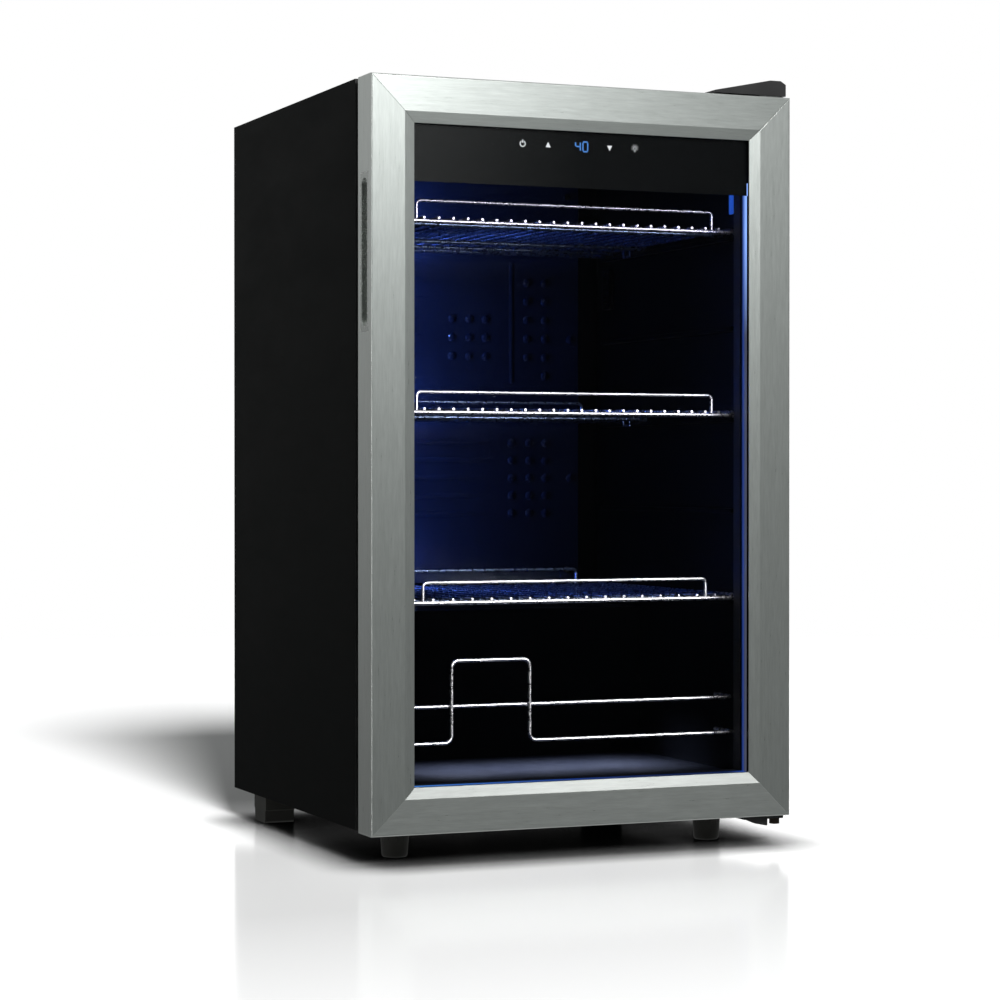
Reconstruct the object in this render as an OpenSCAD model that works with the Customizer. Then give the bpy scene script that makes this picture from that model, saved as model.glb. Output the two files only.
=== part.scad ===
// Undercounter refrigerator with one framed glass door, hung on the right.
// In every module x runs right from the left side, y runs back from the front of the door and
// z runs up from the bottom of the door. place() moves that corner to the model's own frame,
// whose origin is on the floor at the centre of the footprint.

/* [Body] */
// Width of the cabinet and the door
overall_w = 500; // [490:5:560]
// Height of the door, which is also the top of the cabinet
body_h = 806; // [800:2:840]
// Distance from the front of the door to the back of the cabinet
body_d = 489; // [485:1:520]
// Height of the feet under the door
foot_h = 34; // [30:1:44]
// Thickness of the insulated side walls
wall_t = 38; // [36:1:42]

/* [Door] */
// Thickness of the door
door_t = 41; // [40:1:44]
// Gap between the door and the cabinet, filled by the gasket
seal_gap = 9; // [8:0.5:11]
// Width of the flat face of the door frame
frame_w = 38; // [37:0.5:40]
// Width of the bevel that leads down to the glass
bevel_w = 12; // [11:0.5:13]
// Depth of that bevel
bevel_d = 4; // [3:0.5:4]
// Height of the dark control band at the top of the glass
band_h = 61; // [56:1:66]
// Length of the handle pocket
grip_len = 169; // [140:1:190]

/* [Shelves] */
// Height of the lowest pair of shelf ledges
level_z = 243.5; // [240:0.5:248]
// Height from one pair of ledges to the next
level_pitch = 103.5; // [98:0.5:104]
// Spacing of the thin bars on the two upper shelves
bar_gap = 17; // [15:0.5:20]
// Spacing of the thin bars on the lowest shelf
wide_bar_gap = 22.8; // [20:0.2:26]
// Height of the guard rail above the front of a shelf
rail_h = 22; // [16:1:28]

/* [Machine compartment] */
// Depth of the compartment at the bottom of the back
bay_d = 139; // [136:1:142]
// Height of that compartment
bay_h = 183; // [182:1:186]
// Straight tubes across the condenser on the back
pass_count = 13; // [9:2:13]

/* [Hidden] */

$fn = 48;
eps = 0.01;           // overlap between fused shapes
fit = 0.1;            // gap between fitted pieces
skin_t = 1;           // sheet metal
screw_hole_r = 2.3;
condenser_d = 27;     // space behind the cabinet for the condenser
overall_d = body_d + condenser_d;

// Cabinet
cab_y = door_t + seal_gap;
cab_z = 2;
flange_w = 26;
liner_t = 1.5;
in_x = [wall_t, overall_w - wall_t];
in_floor = 45;
in_ceiling = body_h - 40;
in_back = body_d - 53;
step_y = body_d - 179;
step_z = 222;
bay_y = body_d - bay_d;
bay_z = cab_z + bay_h;
pan_t = 1.2;
foam_back = body_d - 2.3;

// Door
edge_r = 2;
lip_w = 10;
mitre_gap = 0.05;
open_in = frame_w + bevel_w;
glass_t = 4;
outer_glass_y = bevel_d + skin_t + 0.2;
inner_glass_y = outer_glass_y + glass_t + 12;
band_z = body_h - open_in - band_h;
icon_z = band_z + 45.4;
plate_y = outer_glass_y + glass_t + 0.7;
plate_t = 1.5;
grip = [9, 34.3, 534.2];
grip_d = 13;
hinge = [overall_w - 9, 20];
pin_r = 3;
running = 0.05;
bush_r = 5.5;
bush_len = 13;

// Shelves
ledge_w = 7;
ledge_t = 5;
ledge_front = [80, 57];
level_count = 5;
front_r = 2.5;
bar_r = 1.4;
shelf_y = 54;
shelf_back = in_back - 23;
brace_y = [90, 290, 365];

// Machine compartment and back
comp = [150, bay_y + 71];
comp_r = 58;
comp_z = [18, 144];
mount_xy = [62, 38];
drain = [200, in_back - 11];
drain_r = 8;
coil_y = body_d + 18;
coil_r = 2.4;
coil_x = [40, overall_w - 40];
coil_z = 230;
coil_pitch = 44;
coil_bend = 18;
coil_top = coil_z + (pass_count - 1) * coil_pitch;
coil_end_x = coil_x[1] + 14;
drier_r = overall_d - coil_y;

// Feet
foot_hole_r = 9;
stud_r = 4;
flute_count = 12;
rear_foot_x = 15;
rear_foot_w = 36;
rear_foot_y = [body_d - 78, body_d - 33];
sole_z = -18;
foot_wall = 3;

// Colours
cabinet_black = [0.1, 0.1, 0.11];
plastic_black = [0.06, 0.06, 0.07];
stainless = [0.75, 0.76, 0.74];
zinc = [0.62, 0.63, 0.65];
copper = [0.72, 0.45, 0.3];
rubber_grey = [0.16, 0.16, 0.17];

module place() translate([-overall_w / 2, -overall_d / 2, foot_h]) children();

module block(low, high) translate(low) cube(high - low);

// Prisms of a flat outline, along x (outline in y and z) and along y (outline in x and z)
module prism_x(outline, x0, x1)
  translate([x0, 0, 0]) rotate([90, 0, 90]) linear_extrude(x1 - x0) polygon(outline);
module prism_y(outline, y0, y1)
  translate([0, y1, 0]) rotate([90, 0, 0]) linear_extrude(y1 - y0) polygon(outline);

module rod_x(x0, x1, y, z, r)
  translate([x0, y, z]) rotate([0, 90, 0]) cylinder(h = x1 - x0, r = r, $fn = 32);
module rod_y(x, y0, y1, z, r)
  translate([x, y0, z]) rotate([-90, 0, 0]) cylinder(h = y1 - y0, r = r, $fn = 32);

// Rectangular ring between two insets from the edges of the door
module ring(inset0, inset1, y0, y1) difference() {
  block([inset0, y0, inset0], [overall_w - inset0, y1, body_h - inset0]);
  block([inset1, y0 - 1, inset1], [overall_w - inset1, y1 + 1, body_h - inset1]);
}

// Pan-head screw along +z: its shank below 0 and its cross-slotted head above
module pan_screw(shank_len, shank_r = 2, head_r = 4, head_h = 2.4) difference() {
  union() {
    translate([0, 0, -shank_len]) cylinder(h = shank_len + eps, r = shank_r);
    cylinder(h = head_h, r1 = head_r, r2 = head_r - 0.8);
  }
  for (turn = [0, 90]) rotate([0, 0, turn])
    translate([-head_r * 0.6, -0.5, head_h - 1.2]) cube([head_r * 1.2, 1, 2]);
}

// Round tube along a list of corners, each corner bent to radius bend_r
module tube_path(points, r, bend_r) {
  last = len(points) - 1;
  function unit(v) = v / norm(v);
  function heading(i) = unit(points[i + 1] - points[i]);
  function bend_angle(i) = acos(heading(i - 1) * heading(i));
  function trim(i) = i == 0 || i == last ? 0 : bend_r * tan(bend_angle(i) / 2);
  for (i = [0:last - 1]) let (
    d = heading(i),
    start = points[i] + d * trim(i),
    run = norm(points[i + 1] - points[i]) - trim(i) - trim(i + 1),
    side = abs(d.z) < 0.9 ? unit(cross(d, [0, 0, 1])) : [1, 0, 0],
    up = cross(d, side)
  ) multmatrix([
    [side.x, up.x, d.x, start.x],
    [side.y, up.y, d.y, start.y],
    [side.z, up.z, d.z, start.z]
  ]) cylinder(h = run, r = r, $fn = 32);
  for (i = [1:last - 1]) let (
    a = heading(i - 1),
    axis = unit(cross(a, heading(i))),
    inward = cross(axis, a),
    centre = points[i] - a * trim(i) + inward * bend_r
  ) multmatrix([
    [-inward.x, a.x, axis.x, centre.x],
    [-inward.y, a.y, axis.y, centre.y],
    [-inward.z, a.z, axis.z, centre.z]
  ]) rotate_extrude(angle = bend_angle(i), $fn = 64) translate([bend_r, 0]) circle(r, $fn = 32);
}

// ---- Cabinet ----

function top_screw_xy() = [
  [overall_w - 46, cab_y + 18], [overall_w - 14, cab_y + 18], [overall_w - 30, cab_y + 56]
];
function bottom_screw_xy() = [
  [overall_w - 27, cab_y + 22], [overall_w - 11, cab_y + 22], [overall_w - 19, cab_y + 64]
];
function panel_screw_xz() = [
  for (x = [7, overall_w - 7], z = [bay_z + 25, (bay_z + body_h) / 2, body_h - 60]) [x, z],
  for (x = [overall_w / 4, overall_w * 3 / 4]) [x, body_h - 7]
];
function bracket_xz() = [
  for (x = [coil_x[0] + 22, coil_x[1] - 24], z = [coil_z, coil_top]) [x, z]
];
function foot_xy() = [[59.5, 90], [overall_w - 59.5, 90]];
function comp_mounts() = [for (sx = [-1, 1], sy = [-1, 1]) comp + [sx * mount_xy.x, sy * mount_xy.y]];

module cabinet_wrap() color(cabinet_black) place() difference() {
  block([0, cab_y, cab_z], [overall_w, body_d, body_h]);
  block([skin_t, cab_y + skin_t, cab_z - 1], [overall_w - skin_t, body_d - skin_t, body_h - skin_t]);
  block([flange_w, cab_y - 1, cab_z + flange_w],
        [overall_w - flange_w, cab_y + skin_t + 1, body_h - flange_w]);
  block([12, body_d - 3, cab_z - 1], [overall_w - 12, body_d + 1, body_h - 12]);
  for (p = top_screw_xy()) translate([p.x, p.y, body_h - 5]) cylinder(h = 10, r = screw_hole_r);
  for (p = panel_screw_xz()) rod_y(p.x, body_d - 3, body_d + 1, p.y, screw_hole_r);
}

module rear_panel() color(cabinet_black) place() difference() {
  block([skin_t + fit, body_d - 2 * skin_t - fit, bay_z + fit],
        [overall_w - skin_t - fit, body_d - skin_t - fit, body_h - skin_t - fit]);
  for (p = panel_screw_xz()) rod_y(p.x, body_d - 5, body_d + 1, p.y, screw_hole_r);
  for (p = bracket_xz()) rod_y(p.x - 8, body_d - 5, body_d + 1, p.y, screw_hole_r);
}

module base_pan() color(cabinet_black) place() difference() {
  block([skin_t + fit, cab_y + skin_t + fit, cab_z],
        [overall_w - skin_t - fit, body_d - skin_t - fit, cab_z + pan_t]);
  for (p = foot_xy()) translate([p.x, p.y, cab_z - 1]) cylinder(h = 5, r = stud_r + 0.3);
  for (p = bottom_screw_xy()) translate([p.x, p.y, cab_z - 1]) cylinder(h = 5, r = screw_hole_r);
  for (p = comp_mounts()) translate([p.x, p.y, cab_z - 1]) cylinder(h = 5, r = 4.2);
  for (i = [0:7])
    block([260 + i * 12, bay_y + 30, cab_z - 1], [265 + i * 12, bay_y + 100, cab_z + 3]);
}

module bay_panel() color(zinc) place() difference() {
  prism_x([
    [bay_y, cab_z + pan_t + fit], [bay_y + skin_t, cab_z + pan_t + fit],
    [bay_y + skin_t, bay_z - skin_t], [body_d - 2.2, bay_z - skin_t],
    [body_d - 2.2, bay_z], [bay_y, bay_z]
  ], skin_t + fit, overall_w - skin_t - fit);
  translate([drain.x, drain.y, bay_z - 5]) cylinder(h = 10, r = drain_r + 0.2);
  translate([250, bay_y + 95, bay_z - 5]) cylinder(h = 10, r = 5);
  translate([430, bay_y + 90, bay_z - 5]) cylinder(h = 10, r = 2);
}

// Outline in y and z of the storage space, grown by g at every wall but the open front
function tub_outline(g, front) = [
  [front, in_floor - g], [step_y + g, in_floor - g], [step_y + g, step_z - g],
  [in_back + g, step_z - g], [in_back + g, in_ceiling + g], [front, in_ceiling + g]
];
module tub(g, front) prism_x(tub_outline(g, front), in_x[0] - g, in_x[1] + g);

module foam_insulation() color([0.93, 0.88, 0.7]) place() difference() {
  block([skin_t + fit, cab_y + 1.2, cab_z + pan_t + fit],
        [overall_w - skin_t - fit, foam_back, body_h - skin_t - fit]);
  tub(liner_t + fit, cab_y);
  block([0, bay_y - fit, 0], [overall_w, body_d, bay_z + fit]);
  translate([drain.x, drain.y, bay_z - 5]) cylinder(h = step_z - bay_z + 10, r = drain_r + 0.2);
  for (p = top_screw_xy()) translate([p.x, p.y, body_h - 14]) cylinder(h = 20, r = screw_hole_r);
  for (p = bottom_screw_xy()) translate([p.x, p.y, cab_z]) cylinder(h = 15, r = screw_hole_r);
  for (p = panel_screw_xz()) rod_y(p.x, body_d - 14, body_d, p.y, screw_hole_r);
  for (p = bracket_xz()) rod_y(p.x - 8, body_d - 14, body_d, p.y, screw_hole_r);
  for (p = foot_xy()) translate([p.x, p.y, cab_z]) cylinder(h = 30, r = foot_hole_r);
}

function level(i) = level_z + i * level_pitch;

module inner_liner() color(plastic_black) place() difference() {
  union() {
    difference() {
      union() {
        tub(liner_t, cab_y);
        block([flange_w + fit, cab_y, cab_z + flange_w + fit],
              [overall_w - flange_w - fit, cab_y + 1.1, body_h - flange_w - fit]);
      }
      tub(0, cab_y - 1);
    }
    for (i = [0:level_count - 1], side = [0, 1])
      block([side == 0 ? in_x[0] - eps : in_x[1] - ledge_w, ledge_front[side],
             level(i) - front_r - ledge_t],
            [side == 0 ? in_x[0] + ledge_w : in_x[1] + eps, shelf_back - 4,
             level(i) - front_r - fit / 2]);
  }
  translate([drain.x, drain.y, step_z - 5]) cylinder(h = 10, r = drain_r + 0.2);
}

plate_x = [66, overall_w - 66];
plate_z = [250, in_ceiling - 20];
plate_face = in_back - 3.6;
function spacer_xz() = [for (x = [plate_x[0] + 16, plate_x[1] - 16], z = [plate_z[0] + 14, plate_z[1] - 14]) [x, z]];

module evaporator_plate() color([0.35, 0.36, 0.38]) place() difference() {
  union() {
    block([plate_x[0], plate_face, plate_z[0]], [plate_x[1], plate_face + 1.6, plate_z[1]]);
    for (i = [0:7]) let (z = plate_z[0] + 48 + i * (plate_z[1] - plate_z[0] - 96) / 7) {
      rod_x(plate_x[0] + 30, plate_x[1] - 30, plate_face + 0.8, z, 2.6);
      for (x = [plate_x[0] + 30, plate_x[1] - 30])
        translate([x, plate_face + 0.8, z]) sphere(2.6, $fn = 32);
    }
  }
  for (p = spacer_xz()) rod_y(p.x, plate_face - 5, plate_face + 5, p.y, 2.2);
}

module evaporator_spacers() color([0.8, 0.8, 0.8]) place() for (p = spacer_xz()) {
  difference() {
    rod_y(p.x, plate_face + 1.6 + running, in_back - running, p.y, 6);
    rod_y(p.x, plate_face, in_back + 1, p.y, 2.2);
  }
  translate([p.x, plate_face - running, p.y]) rotate([90, 0, 0]) pan_screw(3.4);
}

module sensor_housing() color(plastic_black) place() difference() {
  block([in_x[1] - 7, 386, 590], [in_x[1] - fit, 406, 640]);
  block([in_x[1] - 5.5, 388, 592], [in_x[1] + 1, 404, 638]);
  for (z = [598:6:634]) block([in_x[1] - 8, 390, z], [in_x[1] - 4, 402, z + 2]);
}

light_y = [61, 75];
light_z = [262, in_ceiling - 30];
light_out = 5.3;
marker_z = [680, 704];

module light_housing() color(plastic_black) place() difference() {
  block([in_x[0] + fit, light_y[0], light_z[0]],
        [in_x[0] + light_out, light_y[1], light_z[1]]);
  block([in_x[0] + 1.2, light_y[0] + 1.2, light_z[0] + 1.2],
        [in_x[0] + light_out + 1, light_y[1] - 1.2, light_z[1] - 1.2]);
}

module light_board() color([0.85, 0.86, 0.88]) place() {
  block([in_x[0] + 1.3, light_y[0] + 1.4, light_z[0] + 1.4],
        [in_x[0] + 2.3, light_y[1] - 1.4, light_z[1] - 1.4]);
  for (z = [light_z[0] + 12:24:light_z[1] - 12])
    block([in_x[0] + 2.3 - eps, light_y[0] + 5, z], [in_x[0] + 3.1, light_y[1] - 5, z + 3]);
}

module light_lenses() color([0.35, 0.6, 1]) place() {
  block([in_x[0] + 3.6, light_y[0] + 1.3, light_z[0] + 1.3],
        [in_x[0] + light_out, light_y[1] - 1.3, light_z[1] - 1.3]);
  block([in_x[1] - 2.4, 63, marker_z[0]], [in_x[1] - fit, 71, marker_z[1]]);
}

module drain_tube() color([0.75, 0.75, 0.72]) place() translate([drain.x, drain.y, 160])
  difference() {
    cylinder(h = step_z - 161, r = drain_r);
    translate([0, 0, -1]) cylinder(h = step_z - 158, r = drain_r - 1.6);
  }

// ---- Machine compartment ----

module compressor() color([0.08, 0.08, 0.09]) place() {
  translate([comp.x, comp.y, 0]) difference() {
    union() {
      rotate_extrude() {
        translate([0, comp_z[0] + 28]) square([comp_r, comp_z[1] - comp_z[0] - 56]);
        translate([0, comp_z[0]]) square([comp_r - 28, comp_z[1] - comp_z[0]]);
        intersection() {
          for (z = [comp_z[0] + 28, comp_z[1] - 28]) translate([comp_r - 28, z]) circle(28);
          translate([0, comp_z[0]]) square([comp_r, comp_z[1] - comp_z[0]]);
        }
        translate([0, 84]) square([comp_r + 2.5, 4]);
      }
      block([-74, -50, comp_z[0] - 3], [74, 50, comp_z[0] + eps]);
    }
    for (sx = [-1, 1], sy = [-1, 1])
      translate([sx * mount_xy.x, sy * mount_xy.y, 0]) cylinder(h = 30, r = 9.8);
  }
  rod_x(comp.x - 66, comp.x - comp_r + 8, comp.y + 19, 60, 4);
  rod_x(comp.x + comp_r - 12, comp.x + 66, comp.y + 24, 110, 5);
}

module compressor_grommets() color(rubber_grey) place()
  for (p = comp_mounts()) translate([p.x, p.y, 0]) rotate_extrude() polygon([
    [4.1, cab_z + pan_t + fit], [12, cab_z + pan_t + fit], [12, 14.9], [9.7, 14.9],
    [9.7, 18.1], [12, 18.1], [12, 21], [4.1, 21]
  ]);

module compressor_bolts() color(zinc) place() for (p = comp_mounts()) translate([p.x, p.y, 0]) {
  translate([0, 0, -2.6]) cylinder(h = 4.5, r = 6.5, $fn = 6);
  translate([0, 0, 1.9 - eps]) cylinder(h = 25, r = 3.9);
  translate([0, 0, 21.1]) cylinder(h = 5, r = 6.5, $fn = 6);
}

module relay_cover() color(plastic_black) place() difference() {
  block([comp.x + 48, comp.y - 26, 52], [comp.x + 86, comp.y + 16, 82]);
  translate([comp.x, comp.y, 0]) cylinder(h = 200, r = comp_r + 0.3);
  for (y = [-20:8:12]) block([comp.x + 85, comp.y + y, 58], [comp.x + 87, comp.y + y + 3, 76]);
}

module evaporation_pan() color([0.12, 0.12, 0.12]) place() {
  difference() {
    block([comp.x - 62, comp.y - 48, 150], [comp.x + 68, comp.y + 48, 174]);
    block([comp.x - 60, comp.y - 46, 152], [comp.x + 66, comp.y + 46, 175]);
  }
  for (sx = [-1, 1], sy = [-1, 1])
    translate([comp.x + sx * 16, comp.y + sy * 14, comp_z[1] + running])
      cylinder(h = 6, r = 4);
}

function coil_points() = concat(
  [[coil_x[0], coil_y, 120]],
  [for (i = [0:pass_count - 1], end = [0, 1])
    [coil_x[(i + end) % 2], coil_y, coil_z + i * coil_pitch]],
  [[coil_end_x, coil_y, coil_top], [coil_end_x, coil_y, 158]]
);

module condenser_tube() color(cabinet_black) place() {
  points = coil_points();
  // the last pass runs straight on to the far side before it turns down
  tube_path([for (i = [0:len(points) - 1]) if (i != len(points) - 3) points[i]], coil_r, coil_bend);
}

wire_r = 0.75;
module condenser_wires() color(cabinet_black) place()
  for (i = [0:25], side = [-1, 1])
    translate([coil_x[0] + 30 + i * (coil_x[1] - coil_x[0] - 62) / 25,
               coil_y + side * (coil_r + wire_r + running), coil_z - 10])
      cylinder(h = coil_top - coil_z + 20, r = wire_r, $fn = 16);

module condenser_brackets() color(zinc) place() for (p = bracket_xz()) difference() {
  union() {
    block([p.x - 16, body_d + running, p.y - 8], [p.x + 2, body_d + 1.6, p.y + 8]);
    block([p.x, body_d + running, p.y - 8], [p.x + 2, coil_y + 7, p.y + 8]);
  }
  rod_x(p.x - 1, p.x + 3, coil_y, p.y, coil_r + running);
  rod_y(p.x - 8, body_d - 1, body_d + 3, p.y, screw_hole_r);
}

module filter_drier() color(copper) place() translate([coil_end_x, coil_y, 0]) {
  translate([0, 0, 70]) cylinder(h = 70, r = drier_r);
  translate([0, 0, 60]) cylinder(h = 10 + eps, r1 = 3, r2 = drier_r);
  translate([0, 0, 140 - eps]) cylinder(h = 10, r1 = drier_r, r2 = 3.4);
  translate([0, 0, 149]) cylinder(h = 8.9, r = 3.4);
}

module discharge_line() color(copper) place() tube_path([
  [comp.x - 66 - fit, comp.y + 19, 60], [coil_x[0], comp.y + 19, 60],
  [coil_x[0], coil_y, 60], [coil_x[0], coil_y, 120 - fit]
], coil_r, 12);

module suction_line() color(copper) place() tube_path([
  [comp.x + 66 + fit, comp.y + 24, 110], [250, comp.y + 24, 110], [250, comp.y + 24, bay_z + fit]
], 4, 12);

module capillary_tube() color(copper) place() tube_path([
  [coil_end_x, coil_y, 60 - fit], [coil_end_x, coil_y, 30], [430, coil_y, 30],
  [430, bay_y + 90, 30], [430, bay_y + 90, bay_z + fit]
], 1.2, 8);

box_x = [300, 392];
box_y = bay_y + 22;
module power_box() color(plastic_black) place() difference() {
  union() {
    block([box_x[0], box_y, cab_z + pan_t + fit], [box_x[1], box_y + 72, 84]);
    block([box_x[0] - 2, box_y - 2, 84 - eps], [box_x[1] + 2, box_y + 74, 90]);
  }
  block([box_x[0] + 2.5, box_y + 2.5, 8], [box_x[1] - 2.5, box_y + 69.5, 86]);
  for (z = [24:9:70]) block([box_x[0] + 12, box_y + 71, z], [box_x[1] - 12, box_y + 73, z + 3.5]);
  rod_x(box_x[1] - 4, box_x[1] + 1, box_y + 34, 40, 4);
}

cord_y = body_d + 11;
module power_cord() color(plastic_black) place() tube_path([
  [box_x[1] - 2, box_y + 34, 40], [414, box_y + 34, 40], [414, cord_y, 40],
  [414, cord_y, 112], [302 + fit, cord_y, 112]
], 3.5, 14);

module power_plug() color(plastic_black) place() {
  translate([262, cord_y, 112]) rotate([0, 90, 0]) {
    cylinder(h = 22, r = 12.5);
    translate([0, 0, 22 - eps]) cylinder(h = 10, r1 = 12.5, r2 = 6);
    translate([0, 0, 32 - 2 * eps]) cylinder(h = 8, r = 5.5);
  }
}

module plug_blades() color(zinc) place() {
  for (side = [-1, 1])
    block([244, cord_y + side * 6.35 - 0.75, 110], [262 - running, cord_y + side * 6.35 + 0.75, 116]);
  rod_x(242, 262 - running, cord_y, 104, 2.4);
}

// ---- Hinges, feet and fasteners ----

module top_hinge_plate() color(zinc) place() difference() {
  union() {
    block([overall_w - 60, cab_y + 2, body_h + running], [overall_w - 4.7, cab_y + 68, body_h + 3.5]);
    block([overall_w - 34, 9, body_h + 1.2], [overall_w - 4.7, cab_y + 3, body_h + 3.5]);
  }
  translate([hinge.x, hinge.y, body_h]) cylinder(h = 6, r = pin_r + running);
  for (p = top_screw_xy()) translate([p.x, p.y, body_h - 1]) cylinder(h = 6, r = screw_hole_r);
}

module top_hinge_pin() color(zinc) place() translate([hinge.x, hinge.y, body_h]) {
  translate([0, 0, -11]) cylinder(h = 11 + 3.6, r = pin_r);
  translate([0, 0, 3.5 + running]) cylinder(h = 3, r = 4);
}

module hinge_screws() color(zinc) place() {
  for (p = top_screw_xy()) translate([p.x, p.y, body_h + 3.5 + running]) pan_screw(14);
  for (p = bottom_screw_xy())
    translate([p.x, p.y, -1.1 - running]) rotate([180, 0, 0]) pan_screw(12);
}

module top_hinge_cover() color(plastic_black) place() difference() {
  union() {
    prism_y([
      [overall_w - 91, body_h + 2], [overall_w - 91, body_h + 5], [overall_w - 22, body_h + 19],
      [overall_w - 9, body_h + 19], [overall_w - 2.5, body_h + 15], [overall_w - 2.5, body_h + 2]
    ], 6, cab_y + 76);
    block([overall_w - 91, cab_y + 1, body_h + fit], [overall_w - 2.5, cab_y + 76, body_h + 3]);
  }
  prism_y([
    [overall_w - 88.5, body_h - 1], [overall_w - 88.5, body_h + 3.6],
    [overall_w - 22.4, body_h + 17], [overall_w - 10, body_h + 17],
    [overall_w - 4.5, body_h + 13.6], [overall_w - 4.5, body_h - 1]
  ], 8, cab_y + 74);
}

module bottom_hinge_bracket() color(cabinet_black) place() difference() {
  union() {
    block([overall_w - 52, 10, -4.2], [overall_w - 3, cab_y + 2, -1.2]);
    block([overall_w - 38, cab_y - 1, -4.2], [overall_w - 3, cab_y + 2, cab_z - running]);
    block([overall_w - 38, cab_y - 1, -1.1], [overall_w - 3, cab_y + 78, cab_z - running]);
    prism_y([
      [overall_w - 52, -1.2], [overall_w - 52, -3.5], [overall_w - 39, -8.7],
      [overall_w - 24.4, -11.7], [overall_w - 23, -11.2], [overall_w - 23, -1.2]
    ], 10, 12.5);
  }
  translate([hinge.x, hinge.y, -6]) cylinder(h = 6, r = pin_r + running);
  for (p = bottom_screw_xy()) translate([p.x, p.y, -3]) cylinder(h = 6, r = screw_hole_r);
}

module bottom_hinge_pin() color([0.35, 0.28, 0.2]) place() translate([hinge.x, hinge.y, 0]) {
  translate([0, 0, -11]) cylinder(h = 6.75, r = 5.75);
  translate([0, 0, -4.3]) cylinder(h = 15.5, r = pin_r);
}

module foot() {
  difference() {
    rotate_extrude() polygon([
      [0, -foot_h], [12.8, -foot_h], [13.9, 1 - foot_h], [14.3, 3 - foot_h], [16.3, -2.2],
      [15.9, -0.6], [14.8, 0.4], [0, 0.4]
    ]);
    // the grip's flutes run out where the foot tapers
    for (i = [0:flute_count - 1]) rotate([0, 0, (i + 0.5) * 360 / flute_count])
      translate([16.9, 0, 8 - foot_h]) cylinder(h = foot_h, r = 1.7);
  }
  cylinder(h = 27, r = stud_r);
}
module front_foot_left() color(plastic_black) place()
  translate([foot_xy()[0].x, foot_xy()[0].y, 0]) foot();
module front_foot_right() color(plastic_black) place()
  translate([foot_xy()[1].x, foot_xy()[1].y, 0]) foot();

module foot_nuts() color(zinc) place() for (p = foot_xy())
  translate([p.x, p.y, cab_z + pan_t + fit]) difference() {
    cylinder(h = 6, r = 7.5, $fn = 6);
    translate([0, 0, -1]) cylinder(h = 8, r = stud_r + running);
  }

// Moulded block with a narrower sole, hollow from above
module rear_feet() color(plastic_black) place()
  for (x = [rear_foot_x, overall_w - rear_foot_x - rear_foot_w]) difference() {
    prism_x([
      [rear_foot_y[1], cab_z - fit], [rear_foot_y[1], sole_z], [rear_foot_y[1] - 2, sole_z - 1.5],
      [rear_foot_y[1] - 3, 2 - foot_h], [rear_foot_y[1] - 5, -foot_h],
      [rear_foot_y[0] + 5, -foot_h], [rear_foot_y[0] + 3, 2 - foot_h],
      [rear_foot_y[0] + 2, sole_z - 1.5], [rear_foot_y[0], sole_z], [rear_foot_y[0], cab_z - fit]
    ], x, x + rear_foot_w);
    block([x + foot_wall, rear_foot_y[0] + foot_wall, sole_z + foot_wall],
          [x + rear_foot_w - foot_wall, rear_foot_y[1] - foot_wall, cab_z + 1]);
  }

module panel_screws() color(zinc) place() {
  for (p = panel_screw_xz()) translate([p.x, body_d + running, p.y]) rotate([-90, 0, 0]) pan_screw(11);
  for (p = bracket_xz())
    translate([p.x - 8, body_d + 1.6 + running, p.y]) rotate([-90, 0, 0]) pan_screw(12);
}

// ---- Inside the storage space ----

guard_r = 2;
guard_z = [90.5, 130.2];
bump_x = [113.1, 205.7];
bump_top = 180.2;
module can_guard() color([0.8, 0.82, 0.84]) place() {
  end_x = [in_x[0] + 3, in_x[1] - 3];
  tube_path([
    [end_x[0], 104, guard_z[0]], [end_x[0], 56, guard_z[0]], [bump_x[0], 56, guard_z[0]],
    [bump_x[0], 56, bump_top], [bump_x[1], 56, bump_top], [bump_x[1], 56, guard_z[0]],
    [end_x[1], 56, guard_z[0]], [end_x[1], 104, guard_z[0]]
  ], guard_r, 8);
  tube_path([
    [end_x[0], 104, guard_z[1]], [end_x[0], 60.2, guard_z[1]],
    [end_x[1], 60.2, guard_z[1]], [end_x[1], 104, guard_z[1]]
  ], guard_r, 8);
}

// Wire shelf: a welded grille, and two guard rails that stand on it
module shelf(z, gap) color([0.82, 0.84, 0.86]) place() translate([0, 0, z]) {
  half = floor((overall_w / 2 - in_x[0] - 14) / gap);
  bar_z = front_r + bar_r - 0.3;
  for (y = concat([shelf_y], brace_y, [shelf_back - 3]))
    rod_x(in_x[0] + 1.2, in_x[1] - 1.2, y, 0, front_r);
  for (i = [-half:half]) rod_y(overall_w / 2 + i * gap, shelf_y - 2, shelf_back, bar_z, bar_r);
  for (x = [in_x[0] + 8, in_x[1] - 8]) rod_y(x, shelf_y - 2, shelf_back, bar_z, bar_r + 0.4);
  // the stop hook under the right side
  rod_y(in_x[1] - 10, 318, 336, -7, bar_r);
  for (y = [318, 336]) translate([in_x[1] - 10, y, -7]) cylinder(h = 7 + bar_z, r = bar_r);
  rod_y(in_x[1] - 10, 290, 365, bar_z, bar_r);
}
module shelf_rails(z, inset) color([0.82, 0.84, 0.86]) place() translate([0, 0, z]) {
  rail_x = [inset, overall_w - inset];
  for (y = [shelf_y, shelf_back - 3]) tube_path([
    [rail_x[0], y, front_r + running], [rail_x[0], y, rail_h],
    [rail_x[1], y, rail_h], [rail_x[1], y, front_r + running]
  ], 1.8, 5);
}
// A guard rail's legs stand between two thin bars
function rail_inset(gap) = overall_w / 2 - gap * (floor((overall_w / 2 - 70) / gap) + 0.5);
module shelf_top() { shelf(level(4), bar_gap); shelf_rails(level(4), rail_inset(bar_gap)); }
module shelf_middle() { shelf(level(2), bar_gap); shelf_rails(level(2), rail_inset(bar_gap)); }
module shelf_bottom() {
  shelf(level(0), wide_bar_gap);
  shelf_rails(level(0), rail_inset(wide_bar_gap));
}

// ---- Door ----

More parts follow.
